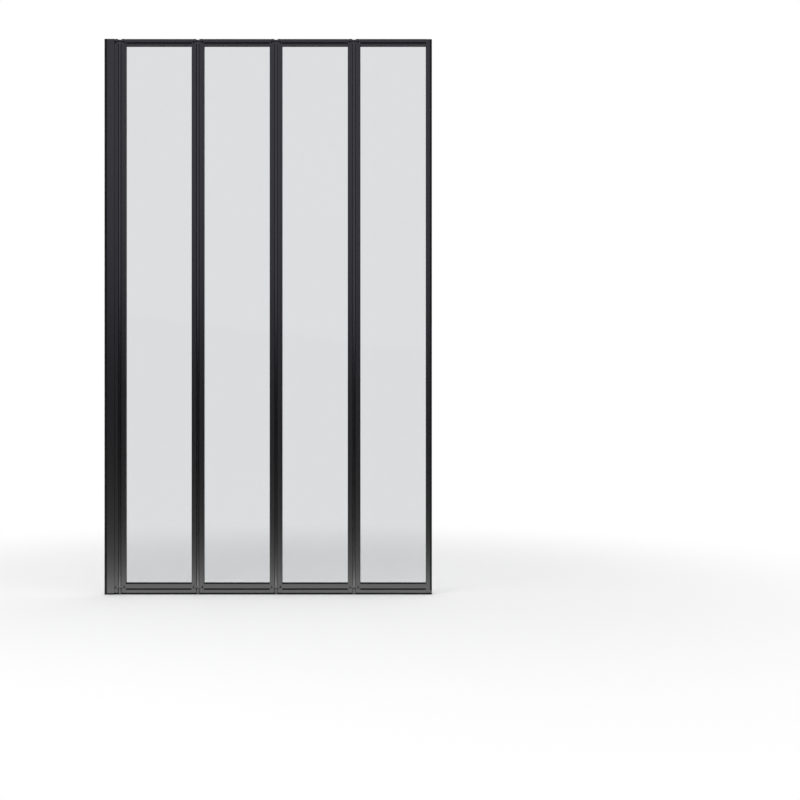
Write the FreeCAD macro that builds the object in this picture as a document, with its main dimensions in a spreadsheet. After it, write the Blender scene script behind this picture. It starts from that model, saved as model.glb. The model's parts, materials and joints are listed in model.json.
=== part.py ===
"""Four-leaf folding bath screen: framed glass leaves on double-pivot hinges, hung from a wall channel.

The wall face is x = 0, the middle of the screen's thickness is y = 0 and the bath rim is z = 0.
The leaves run along +X from the wall, and the bath lies on the +Y side. Lengths are millimetres.
"""
import FreeCAD, Part
import math
import os
import Sketcher

LEAF_COUNT = 4

SIZES = {
    # Heights above the bath rim
    "frame_top": 1399.0,
    "rim_gap": 4.0,
    "top_rail_height": 16.8,
    "bottom_rail_height": 22.2,
    "top_block_height": 15.0,
    "bottom_block_height": 21.0,
    # Plan of the screen
    "wall_axis": 28.8,
    "leaf_axis_width": 178.6,
    "frame_depth": 12.6,
    "stile_inner": 6.5,
    "nose_tip": 5.4,
    "nose_round": 1.0,
    "frame_wall": 1.4,
    # Glass and its pocket
    "glass_thickness": 5.0,
    "glazing_thickness": 1.25,
    "pocket_depth": 5.0,
    "glass_seat": 1.0,
    "corner_clearance": 0.5,
    "side_lip": 0.4,
    "bottom_lip": 3.2,
    # Groove along both faces of the rails
    "groove_height": 4.2,
    "groove_depth": 1.5,
    "top_groove_drop": 7.8,
    "bottom_groove_rise": 7.2,
    # Hinges
    "running_gap": 0.4,
    "strip_web": 1.6,
    "bead_recess": 0.3,
    "nose_rib": 1.6,
    "inner_ear": 3.6,
    "link_thickness": 5.0,
    "link_half_width": 3.6,
    "plug_end_gap": 1.2,
    "plug_recess": 0.2,
    "plug_notch": 1.6,
    "tongue_length": 3.0,
    "tongue_half_width": 2.6,
    "pin_radius": 2.0,
    "pin_floor": 0.6,
    "pin_clearance": 0.05,
    "pin_head_radius": 4.5,
    "pin_head_height": 1.2,
    "pin_head_round": 0.8,
    "sunk_head_radius": 3.2,
    "sunk_head_height": 1.5,
    "bush_wall": 0.6,
    # Corner blocks and their screws
    "spigot_length": 15.0,
    "spigot_fit": 0.1,
    "block_edge": 0.5,
    "screw_radius": 1.1,
    "screw_length": 6.4,
    "screw_head_radius": 2.0,
    "screw_head_height": 0.9,
    "screw_head_round": 0.5,
    # Bottom seal
    "seal_half_width": 5.5,
    "seal_strip": 1.4,
    "seal_end_gap": 0.2,
    "seal_lip": 1.0,
    "seal_lip_inset": 1.2,
    "stem_half_width": 1.1,
    "stem_head_half_width": 2.2,
    "stem_head_height": 1.5,
    # Edge bumper
    "bumper_reach": 3.2,
    "bumper_half_width": 5.2,
    "bumper_round": 2.6,
    "bumper_rise": 4.6,
    "bumper_stem_half_width": 1.0,
    "bumper_head_half_width": 2.0,
    "bumper_head_thickness": 1.2,
    # Wall channel, its cap and the jamb
    "channel_reach": 24.8,
    "channel_base": 1.6,
    "channel_wall": 1.4,
    "channel_step_reach": 4.0,
    "channel_step": 1.0,
    "jamb_tail": 6.6,
    "cap_thickness": 3.0,
    "cap_skirt": 9.0,
    "cap_wall": 1.4,
    "cap_fit": 0.1,
    "lock_screw_inset": 3.4,
    "lock_screw_radius": 2.0,
    "lock_head_radius": 3.9,
    "lock_head_height": 2.2,
    "lock_head_round": 0.9,
    "lock_screw_end": 1.5,
    "width_travel": 12.0,
    "wall_hole_radius": 2.5,
    "outer_hole_margin": 120.0,
    "inner_hole_margin": 500.0,
    "lock_screw_margin": 150.0,
}

doc = FreeCAD.newDocument("folding_bath_screen")
sheet = doc.addObject("Spreadsheet::Sheet", "Sizes")
layout_sheet = doc.addObject("Spreadsheet::Sheet", "Layout")


class Length:
    """A length in millimetres with the expression that it is bound to."""

    def __init__(self, value, text):
        self.value = value
        self.text = text

    def __add__(self, other):
        other = length(other)
        return Length(self.value + other.value, f"({self.text} + {other.text})")

    def __radd__(self, other):
        return length(other) + self

    def __sub__(self, other):
        other = length(other)
        return Length(self.value - other.value, f"({self.text} - {other.text})")

    def __rsub__(self, other):
        return length(other) - self

    def __mul__(self, other):
        other = length(other)
        return Length(self.value * other.value, f"({self.text} * {other.text})")

    def __rmul__(self, other):
        return length(other) * self

    def __truediv__(self, other):
        other = length(other)
        return Length(self.value / other.value, f"({self.text} / {other.text})")

    def __neg__(self):
        return Length(-self.value, f"(-1 * {self.text})")


def length(value):
    return value if isinstance(value, Length) else Length(float(value), repr(float(value)))


def root(value):
    return Length(math.sqrt(value.value), f"sqrt({value.text})")


def hypotenuse(one, other):
    return root(one * one + other * other)


sized = {}
for row, (name, value) in enumerate(SIZES.items(), start=1):
    sheet.set(f"A{row}", name)
    sheet.set(f"B{row}", str(value))
    sheet.setAlias(f"B{row}", name)
    sized[name] = Length(value, f"Sizes.{name}")

laid_out = []


def layout(name, formula):
    """Keep a derived length in the layout sheet, so that sketches are bound to its name."""
    laid_out.append(name)
    row = len(laid_out)
    layout_sheet.set(f"A{row}", name)
    layout_sheet.set(f"B{row}", f"={formula.text}")
    layout_sheet.setAlias(f"B{row}", name)
    return Length(formula.value, f"Layout.{name}")


def get(name):
    return sized[name]


# Heights
frame_top = get("frame_top")
rim_gap = get("rim_gap")
top_joint = layout("top_joint", frame_top - get("top_block_height"))
bottom_joint = layout("bottom_joint", rim_gap + get("bottom_block_height"))
top_sight = layout("top_sight", frame_top - get("top_rail_height"))
bottom_sight = layout("bottom_sight", rim_gap + get("bottom_rail_height"))
stile_length = layout("stile_length", top_joint - bottom_joint)

# Plan: the stile's end swings inside its reach about its pivot, clear of the strip's web
gap = get("running_gap")
wall = get("frame_wall")
nose_tip = get("nose_tip")
nose_round = get("nose_round")
stile_inner = get("stile_inner")
leaf_axis_width = get("leaf_axis_width")
half_depth = layout("half_depth", get("frame_depth") / 2)
nose_reach = layout(
    "nose_reach",
    hypotenuse(nose_tip - nose_round, half_depth - nose_round) + nose_round,
)
rib_half = layout("rib_half", get("nose_rib") / 2)
rib_reach = layout("rib_reach", nose_reach - gap)
axis_spacing = layout("axis_spacing", 2 * (nose_reach + gap) + get("strip_web"))
leaf_pitch = layout("leaf_pitch", leaf_axis_width + axis_spacing)
jamb_axis = get("wall_axis")
first_leaf_axis = layout("first_leaf_axis", jamb_axis + axis_spacing)
rail_length = layout("rail_length", leaf_axis_width - 2 * stile_inner)
bumper_face = layout("bumper_face", nose_tip + get("bumper_reach"))

# Glass pocket
pocket_depth = get("pocket_depth")
pocket_half = layout("pocket_half", get("glass_thickness") / 2 + get("glazing_thickness"))
pocket_floor = layout("pocket_floor", stile_inner - pocket_depth)
glass_edge = layout("glass_edge", pocket_floor + get("glass_seat"))
glass_cover = layout("glass_cover", pocket_depth - get("glass_seat"))
glass_top = layout("glass_top", top_sight + glass_cover)
glass_bottom = layout("glass_bottom", bottom_sight - glass_cover)
top_dub = layout(
    "top_dub", glass_cover + (glass_top - top_joint) + get("corner_clearance")
)
bottom_dub = layout(
    "bottom_dub", glass_cover + (bottom_joint - glass_bottom) + get("corner_clearance")
)

# Chambers inside the extrusions
nose_chamber_near = layout("nose_chamber_near", pocket_floor - wall)
nose_chamber_far = layout("nose_chamber_far", nose_tip - wall)
nose_chamber_half = layout("nose_chamber_half", half_depth - wall)
rail_chamber_half = layout("rail_chamber_half", half_depth - get("groove_depth") - wall)
top_chamber_low = layout("top_chamber_low", top_sight + pocket_depth + wall)
top_chamber_high = layout("top_chamber_high", frame_top - wall)
bottom_chamber_low = layout("bottom_chamber_low", rim_gap + wall)
bottom_chamber_high = layout("bottom_chamber_high", bottom_sight - pocket_depth - wall)

# Hinge links and cover strips
link_slot = layout("link_slot", get("link_thickness") + 2 * gap)
bead_half = layout("bead_half", axis_spacing / 2 - half_depth - gap)
bead_inner = layout(
    "bead_inner",
    root((nose_reach + gap) * (nose_reach + gap)
         - (axis_spacing / 2 - bead_half) * (axis_spacing / 2 - bead_half)),
)
bead_outer = layout("bead_outer", half_depth - get("bead_recess"))
top_link_base = layout("top_link_base", top_joint + get("inner_ear") + gap)
bottom_link_base = layout("bottom_link_base", bottom_joint - get("inner_ear") - gap)
strip_length = layout("strip_length", top_link_base - bottom_link_base)
bush_radius = layout("bush_radius", get("pin_radius") + get("pin_clearance") + get("bush_wall"))

# Screw places, shared by the screws, the holes in the extrusions and the holes in the spigots
lock_screw_heights = [
    get("lock_screw_margin"),
    frame_top / 2,
    frame_top - get("lock_screw_margin"),
]
stile_screw_place = layout("stile_screw_place", (nose_chamber_near - nose_chamber_far) / 2)
rail_screw_place = layout("rail_screw_place", stile_inner + get("spigot_length") / 2)
top_screw_rise = layout(
    "top_screw_rise", get("top_block_height") - get("top_groove_drop") / 2)
bottom_groove_high = layout(
    "bottom_groove_high", rim_gap + get("bottom_groove_rise") + get("groove_height"))
bottom_screw_drop = layout(
    "bottom_screw_drop", bottom_joint - (bottom_groove_high + bottom_chamber_high) / 2)

# Reach of the rail chambers from the end of the stile, clear of the bottom seal's stem
top_chamber = (
    layout("top_chamber_near", top_chamber_low - top_joint),
    layout("top_chamber_far", top_chamber_high - top_joint),
)
bottom_chamber = (
    layout("bottom_chamber_near", bottom_joint - bottom_chamber_high),
    layout("bottom_chamber_far",
           bottom_joint - bottom_chamber_low - get("stem_head_height") - gap),
)

# Pivot axes of each leaf and the middle of the hinge before it
left_axes = []
right_axes = []
hinge_centres = []
for number in range(1, LEAF_COUNT + 1):
    left_axis = layout(f"left_axis_{number}", first_leaf_axis + (number - 1) * leaf_pitch)
    left_axes.append(left_axis)
    right_axes.append(layout(f"right_axis_{number}", left_axis + leaf_axis_width))
    hinge_centres.append(layout(f"hinge_centre_{number}", left_axis - axis_spacing / 2))

ABOUT_X = FreeCAD.Rotation(FreeCAD.Vector(1, 0, 0), 180)
ABOUT_Y = FreeCAD.Rotation(FreeCAD.Vector(0, 1, 0), 180)
ABOUT_Z = FreeCAD.Rotation(FreeCAD.Vector(0, 0, 1), 180)
UNTURNED = FreeCAD.Rotation()
ZERO = length(0)

sub_parts = []


def new_body(label, keep=True):
    body = doc.addObject("PartDesign::Body", label)
    body.Label = label
    body.AllowCompound = True
    if keep:
        sub_parts.append(body)
    return body


def new_sketch(body, role, offset=ZERO):
    """A sketch on one of the body's own origin planes, moved along the plane's normal."""
    plane = next(item for item in body.Origin.OriginFeatures if item.Role == role)
    sketch = body.newObject("Sketcher::SketchObject", f"{body.Name}_sketch")
    sketch.AttachmentSupport = [(plane, "")]
    sketch.MapMode = "FlatFace"
    if offset.value:
        sketch.setExpression("AttachmentOffset.Base.z", offset.text)
    return sketch


def tie_point(sketch, geometry, position, point):
    """Hold one point of a sketch at its two lengths from the origin."""
    for kind, axis, value in (("DistanceX", -2, point[0]), ("DistanceY", -1, point[1])):
        value = length(value)
        if abs(value.value) < 1e-9:
            sketch.addConstraint(Sketcher.Constraint("PointOnObject", geometry, position, axis))
            continue
        index = sketch.addConstraint(
            Sketcher.Constraint(kind, -1, 1, geometry, position, value.value)
        )
        sketch.setExpression(f"Constraints[{index}]", value.text)


def flat_point(point):
    return FreeCAD.Vector(length(point[0]).value, length(point[1]).value, 0)


def draw_outline(sketch, corners):
    """One closed outline of straight edges through the corners."""
    first = sketch.GeometryCount
    count = len(corners)
    for index, corner in enumerate(corners):
        following = corners[(index + 1) % count]
        sketch.addGeometry(Part.LineSegment(flat_point(corner), flat_point(following)), False)
    for index, corner in enumerate(corners):
        line = first + index
        after = first + (index + 1) % count
        sketch.addConstraint(Sketcher.Constraint("Coincident", line, 2, after, 1))
        tie_point(sketch, line, 1, corner)


def draw_box(sketch, low, high):
    draw_outline(sketch, [low, (high[0], low[1]), high, (low[0], high[1])])


def draw_circle(sketch, centre, radius):
    circle = Part.Circle(flat_point(centre), FreeCAD.Vector(0, 0, 1), length(radius).value)
    geometry = sketch.addGeometry(circle, False)
    tie_point(sketch, geometry, 3, centre)
    index = sketch.addConstraint(Sketcher.Constraint("Radius", geometry, length(radius).value))
    sketch.setExpression(f"Constraints[{index}]", length(radius).text)


def draw_stadium(sketch, half_spacing, radius):
    """A bar with round ends about two axes on the sketch's own X axis."""
    normal = FreeCAD.Vector(0, 0, 1)
    quarter = math.pi / 2
    right = Part.Circle(flat_point((half_spacing, 0)), normal, radius.value)
    left = Part.Circle(flat_point((-half_spacing, 0)), normal, radius.value)
    right_arc = sketch.addGeometry(Part.ArcOfCircle(right, -quarter, quarter), False)
    left_arc = sketch.addGeometry(Part.ArcOfCircle(left, quarter, 3 * quarter), False)
    upper = Part.LineSegment(flat_point((half_spacing, radius)), flat_point((-half_spacing, radius)))
    lower = Part.LineSegment(flat_point((-half_spacing, -radius)), flat_point((half_spacing, -radius)))
    upper_line = sketch.addGeometry(upper, False)
    lower_line = sketch.addGeometry(lower, False)
    sketch.addConstraint(Sketcher.Constraint("Tangent", right_arc, 2, upper_line, 1))
    sketch.addConstraint(Sketcher.Constraint("Tangent", upper_line, 2, left_arc, 1))
    sketch.addConstraint(Sketcher.Constraint("Tangent", left_arc, 2, lower_line, 1))
    sketch.addConstraint(Sketcher.Constraint("Tangent", lower_line, 2, right_arc, 1))
    tie_point(sketch, right_arc, 3, (half_spacing, 0))
    tie_point(sketch, left_arc, 3, (-half_spacing, 0))
    index = sketch.addConstraint(Sketcher.Constraint("Radius", right_arc, radius.value))
    sketch.setExpression(f"Constraints[{index}]", radius.text)


def settle(*items):
    """Work out new items at once, because the next feature reads them."""
    for item in items:
        item.recompute()
        item.purgeTouched()


def add_pad(body, sketch, depth, symmetric=False, backward=False):
    pad = body.newObject("PartDesign::Pad", f"{body.Name}_pad")
    pad.Profile = sketch
    pad.SideType = "Symmetric" if symmetric else "One side"
    pad.Reversed = backward
    pad.setExpression("Length", depth.text)
    settle(sketch, pad)
    return pad


def add_pocket(body, sketch, depth, symmetric=False, backward=False):
    """Cut a sketch out of the body, and make sure that it took something away."""
    before = body.Tip.Shape.Volume
    pocket = body.newObject("PartDesign::Pocket", f"{body.Name}_pocket")
    pocket.Profile = sketch
    pocket.SideType = "Symmetric" if symmetric else "One side"
    pocket.Reversed = backward
    pocket.setExpression("Length", depth.text)
    settle(sketch, pocket)
    if pocket.Shape.Volume >= before:
        raise RuntimeError(f"{pocket.Name} cuts nothing")
    return pocket


def add_fillet(body, radius, chosen):
    """Round the edges of the body's last feature that the test picks out."""
    base = body.Tip
    names = [
        f"Edge{number}" for number, edge in enumerate(base.Shape.Edges, start=1) if chosen(edge)
    ]
    fillet = body.newObject("PartDesign::Fillet", f"{body.Name}_fillet")
    fillet.Base = (base, names)
    fillet.setExpression("Radius", radius.text)
    settle(fillet)
    return fillet


def near(one, other):
    return abs(one - other) < 1e-4


def runs_along(edge, axis):
    """Whether a straight edge lies along the axis, 0 for X, 1 for Y and 2 for Z."""
    if len(edge.Vertexes) != 2 or not isinstance(edge.Curve, (Part.Line, Part.LineSegment)):
        return False
    across = [item for item in range(3) if item != axis]
    start, end = edge.Vertexes[0].Point, edge.Vertexes[1].Point
    return all(near(start[item], end[item]) for item in across)


def place(item, x=ZERO, y=ZERO, z=ZERO, rotation=UNTURNED):
    start = FreeCAD.Vector(length(x).value, length(y).value, length(z).value)
    item.Placement = FreeCAD.Placement(start, rotation)
    for axis, value in (("x", x), ("y", y), ("z", z)):
        item.setExpression(f"Placement.Base.{axis}", length(value).text)


def group(label, items):
    compound = doc.addObject("Part::Compound", label)
    compound.Label = label
    compound.Links = items
    sub_parts.append(compound)
    return compound


def rounds_nose(edge):
    """The two upright edges at the stile's end, where it turns past its neighbour."""
    start = edge.Vertexes[0].Point
    at_end = near(start.x, -nose_tip.value) and near(abs(start.y), half_depth.value)
    return runs_along(edge, 2) and at_end


def is_rim(edge, height):
    """The edges round a block's outer end."""
    return all(near(vertex.Point.z, height.value) for vertex in edge.Vertexes)


def mirrored_outline(half):
    """A whole outline from its right-hand half, listed from one end of the mirror line to the other."""
    return half + [(-across, along) for across, along in reversed(half)]


def rib_corners():
    """Rib on a hinge nose, which closes the view past the cover strip and swings inside the nose's reach."""
    return [
        (-nose_tip, rib_half),
        (-rib_reach, rib_half),
        (-rib_reach, -rib_half),
        (-nose_tip, -rib_half),
    ]


def draw_nose_chamber(sketch):
    draw_box(sketch, (-nose_chamber_far, -nose_chamber_half), (nose_chamber_near, nose_chamber_half))


def add_screws(body, places, seat, radius, shank, head_radius, head_height, head_round):
    """Screws driven in along -Y, with their heads on the face at y = seat."""
    shanks = new_sketch(body, "XZ_Plane", -seat)
    heads = new_sketch(body, "XZ_Plane", -seat)
    for centre in places:
        draw_circle(shanks, centre, radius)
        draw_circle(heads, centre, head_radius)
    add_pad(body, shanks, shank)
    add_pad(body, heads, head_height, backward=True)
    crown = (seat + head_height).value
    add_fillet(body, head_round,
               lambda edge: all(near(vertex.Point.y, crown) for vertex in edge.Vertexes))


def make_wall_channel():
    """U-section screwed to the wall, stepped in where it meets the wall, with the lock screws' slots."""
    base = get("channel_base")
    thickness = get("channel_wall")
    step_reach = get("channel_step_reach")
    inner = half_depth + gap
    outer = inner + thickness
    step = get("channel_step")
    reach = get("channel_reach")
    body = new_body("wall_channel")
    profile = new_sketch(body, "XY_Plane")
    half = [
        (0, outer - step),
        (step_reach, outer - step),
        (step_reach, outer),
        (reach, outer),
        (reach, inner),
        (step_reach + thickness, inner),
        (step_reach + thickness, inner - step),
        (base, inner - step),
    ]
    mirrored = [(x, -y) for x, y in reversed(half)]
    draw_outline(profile, half + mirrored)
    add_pad(body, profile, frame_top)

    holes = new_sketch(body, "YZ_Plane")
    for margin in (get("outer_hole_margin"), get("inner_hole_margin")):
        draw_circle(holes, (0, margin), get("wall_hole_radius"))
        draw_circle(holes, (0, frame_top - margin), get("wall_hole_radius"))
    add_pocket(body, holes, base, backward=True)

    slots = new_sketch(body, "XZ_Plane", -inner)
    clear = get("lock_screw_radius") + gap
    near_end = get("jamb_tail") + get("lock_screw_inset") - clear
    far_end = near_end + get("width_travel") + 2 * clear
    for height in lock_screw_heights:
        draw_box(slots, (near_end, height - clear), (far_end, height + clear))
    add_pocket(body, slots, thickness)
    return body


def make_channel_cap():
    """Moulded plug in the channel's top, hollow underneath, from the channel's base to short of the jamb."""
    fit = get("cap_fit")
    back = get("channel_base") + fit
    low = get("channel_step_reach") + get("channel_wall") + fit
    high = jamb_axis - stile_inner - gap
    half = half_depth + gap - fit
    neck = half - get("channel_step")
    skin = get("cap_wall")
    body = new_body("wall_channel_cap")
    place(body, z=frame_top)
    top = new_sketch(body, "XY_Plane")
    draw_outline(top, [
        (back, -neck),
        (low, -neck),
        (low, -half),
        (high, -half),
        (high, half),
        (low, half),
        (low, neck),
        (back, neck),
    ])
    add_pad(body, top, get("cap_skirt"), backward=True)
    hollow = new_sketch(body, "XY_Plane", -get("cap_thickness"))
    draw_box(hollow, (low + skin, skin - half), (high - skin, half - skin))
    add_pocket(body, hollow, get("cap_skirt"))
    return body


def make_jamb():
    """Extrusion that slides in the channel: a hinge nose like a stile's on a two-legged tongue."""
    body = new_body("hinge_jamb")
    place(body, x=jamb_axis, z=bottom_joint, rotation=ABOUT_Z)
    profile = new_sketch(body, "XY_Plane")
    tail = jamb_axis - get("jamb_tail")
    draw_outline(profile, [
        (-nose_tip, -half_depth),
        (tail, -half_depth),
        (tail, -nose_chamber_half),
        (pocket_floor, -nose_chamber_half),
        (pocket_floor, nose_chamber_half),
        (tail, nose_chamber_half),
        (tail, half_depth),
        (-nose_tip, half_depth),
    ] + rib_corners())
    draw_nose_chamber(profile)
    add_pad(body, profile, stile_length)
    add_fillet(body, nose_round, rounds_nose)
    holes = new_sketch(body, "XZ_Plane")
    for height in lock_screw_heights:
        draw_circle(holes, (tail - get("lock_screw_inset"), height - bottom_joint),
                    get("lock_screw_radius"))
    add_pocket(body, holes, half_depth, backward=True)
    return body


def make_stile(label, axis, right, free_edge=False):
    """Extrusion with the glass pocket on one side and the hinge nose on the other."""
    body = new_body(label)
    place(body, x=axis, z=bottom_joint, rotation=ABOUT_Z if right else UNTURNED)
    profile = new_sketch(body, "XY_Plane")
    draw_outline(profile, [
        (-nose_tip, -half_depth),
        (stile_inner, -half_depth),
        (stile_inner, -pocket_half),
        (pocket_floor, -pocket_half),
        (pocket_floor, pocket_half),
        (stile_inner, pocket_half),
        (stile_inner, half_depth),
        (-nose_tip, half_depth),
    ] + ([] if free_edge else rib_corners()))
    draw_nose_chamber(profile)
    add_pad(body, profile, stile_length)
    add_fillet(body, nose_round, rounds_nose)
    holes = new_sketch(body, "XZ_Plane")
    for height in (get("spigot_length") / 2, stile_length - get("spigot_length") / 2):
        draw_circle(holes, (stile_screw_place, height), get("screw_radius"))
    add_pocket(body, holes, half_depth, backward=right)
    if free_edge:
        stem = get("bumper_stem_half_width")
        slot = new_sketch(body, "XY_Plane")
        draw_box(slot, (-nose_tip, -stem), (-nose_chamber_far, stem))
        add_pocket(body, slot, stile_length, backward=True)
    return body


def groove_points(side, low, high):
    """Corners of the groove in one face of a rail, from its lower edge to its upper edge."""
    floor = half_depth - get("groove_depth")
    corners = [(half_depth, low), (floor, low), (floor, high), (half_depth, high)]
    return [(side * across, height) for across, height in corners]


def drill_rail(body, height):
    """Holes in the rail's bath side for the screws into the corner blocks."""
    from_end = rail_screw_place - stile_inner
    holes = new_sketch(body, "XZ_Plane")
    for along in (from_end, rail_length - from_end):
        draw_circle(holes, (along, height), get("screw_radius"))
    add_pocket(body, holes, half_depth)


def make_top_rail(label, axis):
    """Extrusion with the glass pocket underneath and a groove along both faces."""
    body = new_body(label)
    place(body, x=axis + stile_inner)
    profile = new_sketch(body, "YZ_Plane")
    high = frame_top - get("top_groove_drop")
    low = high - get("groove_height")
    right = [(half_depth, top_sight)] + groove_points(1, low, high) + [(half_depth, frame_top)]
    left = [(-half_depth, frame_top)] + groove_points(-1, low, high)[::-1] + [(-half_depth, top_sight)]
    pocket = [
        (-pocket_half, top_sight),
        (-pocket_half, top_sight + pocket_depth),
        (pocket_half, top_sight + pocket_depth),
        (pocket_half, top_sight),
    ]
    draw_outline(profile, right + left + pocket)
    draw_box(profile, (-rail_chamber_half, top_chamber_low), (rail_chamber_half, top_chamber_high))
    add_pad(body, profile, rail_length)
    drill_rail(body, top_joint + top_screw_rise)
    return body


def make_bottom_rail(label, axis):
    """Extrusion with the glass pocket on top, a groove along both faces and a slot for the seal."""
    body = new_body(label)
    place(body, x=axis + stile_inner)
    profile = new_sketch(body, "YZ_Plane")
    low = rim_gap + get("bottom_groove_rise")
    high = low + get("groove_height")
    stem = get("stem_half_width")
    right = [(half_depth, rim_gap)] + groove_points(1, low, high) + [(half_depth, bottom_sight)]
    left = [(-half_depth, bottom_sight)] + groove_points(-1, low, high)[::-1] + [(-half_depth, rim_gap)]
    pocket = [
        (pocket_half, bottom_sight),
        (pocket_half, bottom_sight - pocket_depth),
        (-pocket_half, bottom_sight - pocket_depth),
        (-pocket_half, bottom_sight),
    ]
    chamber = [
        (-stem, rim_gap),
        (-stem, bottom_chamber_low),
        (-rail_chamber_half, bottom_chamber_low),
        (-rail_chamber_half, bottom_chamber_high),
        (rail_chamber_half, bottom_chamber_high),
        (rail_chamber_half, bottom_chamber_low),
        (stem, bottom_chamber_low),
        (stem, rim_gap),
    ]
    draw_outline(profile, right + pocket + left + chamber)
    add_pad(body, profile, rail_length)
    drill_rail(body, bottom_joint - bottom_screw_drop)
    return body


def glass_corners():
    """Outline of the pane, whose corners are cut off behind the frame to clear the corner blocks."""
    far = leaf_axis_width - glass_edge
    return [
        (glass_edge, glass_bottom + bottom_dub),
        (glass_edge + bottom_dub, glass_bottom),
        (far - bottom_dub, glass_bottom),
        (far, glass_bottom + bottom_dub),
        (far, glass_top - top_dub),
        (far - top_dub, glass_top),
        (glass_edge + top_dub, glass_top),
        (glass_edge, glass_top - top_dub),
    ]


def make_glass(label, axis):
    body = new_body(label)
    place(body, x=axis)
    outline = new_sketch(body, "XZ_Plane")
    draw_outline(outline, glass_corners())
    add_pad(body, outline, get("glass_thickness"), symmetric=True)
    return body


def make_glazing_seal(label, axis):
    """Closed U-section gasket between the pane and its pockets, with a tall lip along the bottom."""
    body = new_body(label)
    place(body, x=axis)
    far_floor = leaf_axis_width - pocket_floor
    far_inner = leaf_axis_width - stile_inner
    rail_low = bottom_sight - pocket_depth
    rail_high = top_sight + pocket_depth
    outer = new_sketch(body, "XZ_Plane")
    draw_outline(outer, [
        (pocket_floor, bottom_joint),
        (stile_inner, bottom_joint),
        (stile_inner, rail_low),
        (far_inner, rail_low),
        (far_inner, bottom_joint),
        (far_floor, bottom_joint),
        (far_floor, top_joint),
        (far_inner, top_joint),
        (far_inner, rail_high),
        (stile_inner, rail_high),
        (stile_inner, top_joint),
        (pocket_floor, top_joint),
    ])
    side = stile_inner + get("side_lip")
    draw_box(outer, (side, bottom_sight + get("bottom_lip")),
             (leaf_axis_width - side, top_sight - get("side_lip")))
    add_pad(body, outer, 2 * pocket_half, symmetric=True)
    pane = new_sketch(body, "XZ_Plane")
    draw_outline(pane, glass_corners())
    add_pocket(body, pane, get("glass_thickness"), symmetric=True)
    return body


def make_bottom_seal(label, axis, free_edge):
    """Soft strip under the leaf: two splayed lips on the rim and an arrow-headed stem in the rail."""
    body = new_body(label)
    place(body, x=axis)
    overhang = nose_tip - get("seal_end_gap")
    far_overhang = bumper_face if free_edge else overhang
    half = get("seal_half_width")
    lip = get("seal_lip")
    lip_root = half - get("seal_lip_inset")
    strip_low = rim_gap - get("seal_strip")
    strip = new_sketch(body, "YZ_Plane", -overhang)
    draw_outline(strip, mirrored_outline([
        (half, rim_gap),
        (half, strip_low),
        (lip_root, strip_low),
        (half, 0),
        (half - lip, 0),
        (lip_root - lip, strip_low),
    ]))
    add_pad(body, strip, overhang + leaf_axis_width + far_overhang)
    stem = get("stem_half_width")
    arrow = new_sketch(body, "YZ_Plane", stile_inner)
    draw_outline(arrow, mirrored_outline([
        (stem, rim_gap),
        (stem, bottom_chamber_low),
        (get("stem_head_half_width"), bottom_chamber_low),
        (stem, bottom_chamber_low + get("stem_head_height")),
    ]))
    add_pad(body, arrow, rail_length)
    return body


def add_toe(body, height):
    """Step at a block's outer end, in line with the edge bumper, which stands on it."""
    half = get("bumper_half_width")
    rise = get("bumper_rise")
    plan = new_sketch(body, "XY_Plane", height - rise)
    draw_box(plan, (-bumper_face, -half), (0, half))
    add_pad(body, plan, rise)
    add_fillet(body, get("bumper_round"),
               lambda edge: runs_along(edge, 2) and near(edge.Vertexes[0].Point.x, -bumper_face.value))


def make_corner_block(label, height, chamber, hinged, railed, bottom, screw_height):
    """Moulded block that closes a stile's end and joins it to a rail.

    It stands on the stile's end at z = 0, with one spigot down the stile and one along the rail.
    A hinged block has a slot for the link between its two ears, and the pin's hole through them.
    At the bottom, a hinged block has a seat for the pin's head, and the one at the free edge a toe.
    """
    body = new_body(label, keep=False)
    plan = new_sketch(body, "XY_Plane")
    draw_box(plan, (-nose_tip, -half_depth), (stile_inner, half_depth))
    add_pad(body, plan, height)
    add_fillet(body, nose_round, rounds_nose)
    add_fillet(body, get("block_edge"), lambda edge: is_rim(edge, height))
    if hinged:
        rib = new_sketch(body, "XY_Plane")
        draw_box(rib, (-rib_reach, -rib_half), (0, rib_half))
        add_pad(body, rib, height - get("block_edge"))
        ear = get("inner_ear")
        slot = new_sketch(body, "XZ_Plane")
        draw_box(slot, (-2 * nose_tip, ear), (get("link_half_width") + gap, ear + link_slot))
        add_pocket(body, slot, 2 * get("frame_depth"), symmetric=True)
        hole = new_sketch(body, "XY_Plane", height)
        draw_circle(hole, (0, 0), get("pin_radius"))
        add_pocket(body, hole, height - get("pin_floor"))
    if bottom and hinged:
        seat = new_sketch(body, "XY_Plane", height)
        draw_circle(seat, (0, 0), get("sunk_head_radius"))
        add_pocket(body, seat, get("sunk_head_height"))
    elif bottom:
        add_toe(body, height)
    fit = get("spigot_fit")
    half = nose_chamber_half - fit
    stile_spigot = new_sketch(body, "XY_Plane")
    draw_box(stile_spigot, (fit - nose_chamber_far, -half), (nose_chamber_near - fit, half))
    add_pad(body, stile_spigot, get("spigot_length"), backward=True)
    screws = new_sketch(body, "XZ_Plane")
    draw_circle(screws, (stile_screw_place, -get("spigot_length") / 2), get("screw_radius"))
    if railed:
        across = rail_chamber_half - fit
        rail_spigot = new_sketch(body, "YZ_Plane", stile_inner)
        draw_box(rail_spigot, (-across, chamber[0] + fit), (across, chamber[1] - fit))
        add_pad(body, rail_spigot, get("spigot_length"))
        draw_circle(screws, (rail_screw_place, screw_height), get("screw_radius"))
    add_pocket(body, screws, get("frame_depth"), symmetric=True)
    return body


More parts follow.
